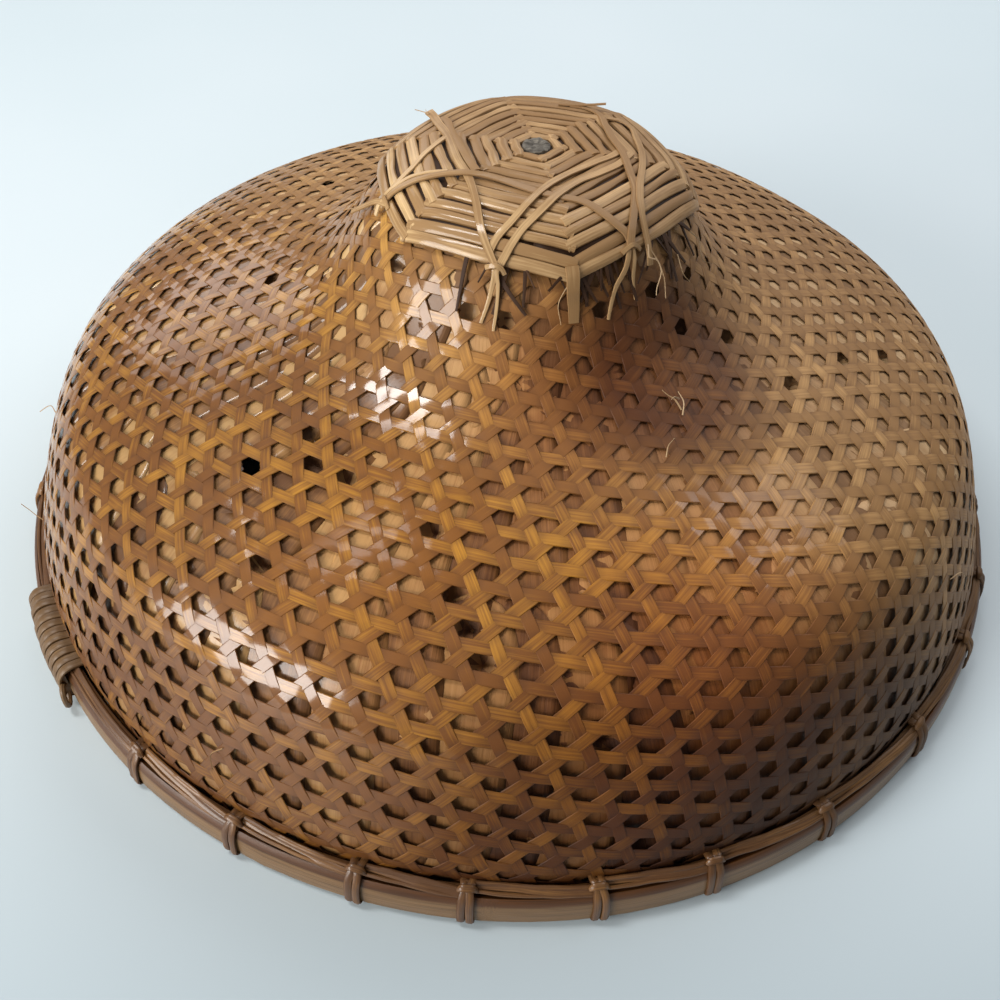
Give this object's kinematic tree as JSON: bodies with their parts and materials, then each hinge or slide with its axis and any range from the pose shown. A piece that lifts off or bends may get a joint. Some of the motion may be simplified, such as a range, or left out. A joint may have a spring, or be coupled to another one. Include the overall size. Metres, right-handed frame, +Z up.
{
  "type": "field hat",
  "caption": "Wide woven cane field hat: open hexagonal weave over a leaf layer, tall crown with a wound cap, and a bamboo rim bound with lashings.",
  "frame": {"origin": "centre of the rim on the surface it rests on", "axes": "+Z up through the crown; -Y is the front in the picture and +X the picture's right"},
  "size_m": [0.432, 0.4326, 0.173],
  "materials": {
    "woven_shell": "varnished cane splits, glossy at the front and left, matt at the right",
    "leaf_layer": "dry pale leaf, fibrous and matt",
    "rim_hoop_outer": "bamboo, streaky brown, satin",
    "rim_hoop_inner": "plain bamboo, satin",
    "rim_filler_split": "split cane, satin",
    "rim_lashing": "cane lashing, satin",
    "rim_splice": "wound cane, satin",
    "crown_cap": "flat cane splits, dry and pale",
    "crown_plug": "weathered grey end grain, matt"
  },
  "bodies": {
    "root": {"woven_shell": "woven_shell", "leaf_layer": "leaf_layer", "rim_hoop_outer": "rim_hoop_outer", "rim_hoop_inner": "rim_hoop_inner", "rim_filler_split": "rim_filler_split", "rim_lashing_01": "rim_lashing", "rim_lashing_02": "rim_lashing", "rim_lashing_03": "rim_lashing", "rim_lashing_04": "rim_lashing", "rim_lashing_05": "rim_lashing", "rim_lashing_06": "rim_lashing", "rim_lashing_07": "rim_lashing", "rim_lashing_08": "rim_lashing", "rim_lashing_09": "rim_lashing", "rim_lashing_10": "rim_lashing", "rim_lashing_11": "rim_lashing", "rim_lashing_12": "rim_lashing", "rim_lashing_13": "rim_lashing", "rim_lashing_14": "rim_lashing", "rim_lashing_15": "rim_lashing", "rim_lashing_16": "rim_lashing", "rim_lashing_17": "rim_lashing", "rim_lashing_18": "rim_lashing", "rim_lashing_19": "rim_lashing", "rim_lashing_20": "rim_lashing", "rim_lashing_21": "rim_lashing", "rim_lashing_22": "rim_lashing", "rim_lashing_23": "rim_lashing", "rim_lashing_24": "rim_lashing", "rim_lashing_25": "rim_lashing", "rim_lashing_26": "rim_lashing", "rim_lashing_27": "rim_lashing", "rim_splice": "rim_splice", "crown_cap": "crown_cap", "crown_plug": "crown_plug"}
  },
  "joints": []
}
